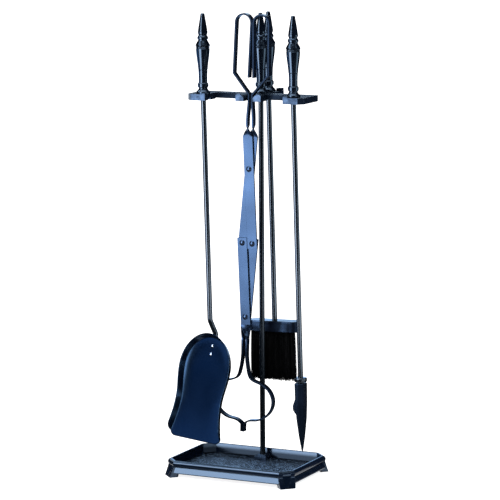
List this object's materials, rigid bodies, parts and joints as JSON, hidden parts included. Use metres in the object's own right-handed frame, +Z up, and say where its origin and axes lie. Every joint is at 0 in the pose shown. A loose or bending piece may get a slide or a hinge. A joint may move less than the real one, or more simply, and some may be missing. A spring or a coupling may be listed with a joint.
{
  "type": "fireplace tool set",
  "caption": "Free-standing fireplace tool set: footed tray, post and slotted rack with a hanging shovel, poker, hearth brush and scissor-link tongs.",
  "frame": {"origin": "on the hearth under the middle of the base tray", "axes": "+Z up, -Y towards the front where the tongs hang, +X towards the poker"},
  "size_m": [0.2819, 0.2037, 0.8144],
  "materials": {
    "tray_enamel": "hammered gloss enamel",
    "rack_black": "semi-gloss paint on cast iron",
    "rod_black": "semi-gloss paint on steel bar",
    "handle_black": "gloss paint on a turned handle",
    "pan_black": "satin paint on pressed sheet",
    "forged_black": "satin paint on forged strip",
    "rivet_black": "painted rivet heads with rubbed crowns",
    "plain_steel": "zinc plated",
    "block_black": "painted hardwood",
    "bristle_black": "stiff matt fibre"
  },
  "bodies": {
    "root": {"base_tray": "tray_enamel", "post_foot": "rack_black", "post": "rod_black", "post_washer": "plain_steel", "post_nut": "plain_steel", "rack": "rack_black", "stand_handle": "handle_black"},
    "shovel": {"shovel_handle": "handle_black", "shovel_rod": "rod_black", "shovel_pan": "pan_black", "shovel_rivets": "rivet_black"},
    "poker": {"poker_handle": "handle_black", "poker_rod": "rod_black", "poker_collar": "rod_black", "poker_point": "forged_black"},
    "brush": {"brush_handle": "handle_black", "brush_rod": "rod_black", "brush_block": "block_black", "brush_bristles": "bristle_black"},
    "tongs_pivot": {"tongs_top_rivet": "rivet_black"},
    "front_lever": {"tongs_front_lever": "forged_black", "tongs_right_rivet": "rivet_black"},
    "rear_lever": {"tongs_rear_lever": "forged_black", "tongs_left_rivet": "rivet_black"},
    "front_link": {"tongs_front_link": "forged_black", "tongs_low_rivet": "rivet_black"},
    "rear_link": {"tongs_rear_link": "forged_black"}
  },
  "joints": [
    {"name": "shovel_lift", "type": "slide", "parent": "root", "child": "shovel", "axis": [-0.0244, 0, 0.9997], "range_m": [0, 0.03]},
    {"name": "poker_lift", "type": "slide", "parent": "root", "child": "poker", "axis": [-0.0244, 0, 0.9997], "range_m": [0, 0.03]},
    {"name": "brush_lift", "type": "slide", "parent": "root", "child": "brush", "axis": [-0.0244, 0, 0.9997], "range_m": [0, 0.03]},
    {"name": "tongs_tip_out", "type": "hinge", "parent": "root", "child": "tongs_pivot", "pos_m": [0, 0.0275, 0.18], "axis": [1, 0, 0], "range_deg": [0, 14]},
    {"name": "front_lever_swing", "type": "hinge", "parent": "tongs_pivot", "child": "front_lever", "pos_m": [-0.00443, 0.0275, 0.54097], "axis": [0, -1, 0], "range_deg": [0, 8.4]},
    {"name": "rear_lever_swing", "type": "hinge", "parent": "tongs_pivot", "child": "rear_lever", "pos_m": [-0.00443, 0.0275, 0.54097], "axis": [0, 1, 0], "range_deg": [0, 8.4]},
    {"name": "front_link_swing", "type": "hinge", "parent": "rear_lever", "child": "front_link", "pos_m": [-0.01857, 0.0275, 0.40927], "axis": [0, -1, 0], "range_deg": [0, 16.8]},
    {"name": "rear_link_swing", "type": "hinge", "parent": "front_lever", "child": "rear_link", "pos_m": [0.00082, 0.0275, 0.40862], "axis": [0, 1, 0], "range_deg": [0, 16.8]}
  ],
  "couplings": [
    {"joint": "front_lever_swing", "follows": "tongs_tip_out", "ratio": 0.6},
    {"joint": "rear_lever_swing", "follows": "tongs_tip_out", "ratio": 0.6},
    {"joint": "front_link_swing", "follows": "tongs_tip_out", "ratio": 1.2},
    {"joint": "rear_link_swing", "follows": "tongs_tip_out", "ratio": 1.2}
  ]
}
